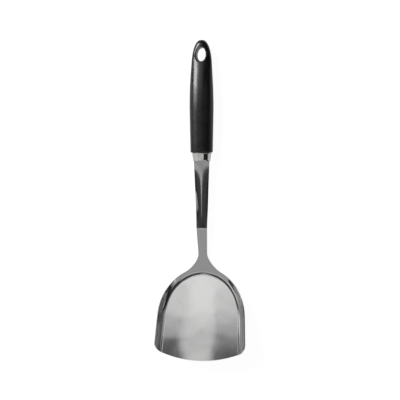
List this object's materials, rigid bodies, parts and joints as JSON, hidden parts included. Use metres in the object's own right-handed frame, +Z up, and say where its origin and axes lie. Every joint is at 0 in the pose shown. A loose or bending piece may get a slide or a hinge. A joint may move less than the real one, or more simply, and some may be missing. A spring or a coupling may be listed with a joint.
{
  "type": "wok spatula",
  "caption": "Wok spatula with a pressed steel shovel head, flared neck and long shank in one sheet, a tapered steel collar and a moulded black handle with a hanging hole.",
  "frame": {"origin": "on the surface that the spatula lies on, below the middle of its whole length, in its plane of symmetry", "axes": "+Z up, away from the surface it lies on; +Y along the spatula from the shovel head towards the handle; +X across"},
  "size_m": [0.1002, 0.3496, 0.028],
  "materials": {
    "blade_steel": "satin, finely brushed along the length",
    "ferrule_steel": "polished",
    "handle_plastic": "satin black, fine moulded texture"
  },
  "bodies": {
    "root": {"blade": "blade_steel", "ferrule": "ferrule_steel", "handle": "handle_plastic"}
  },
  "joints": []
}
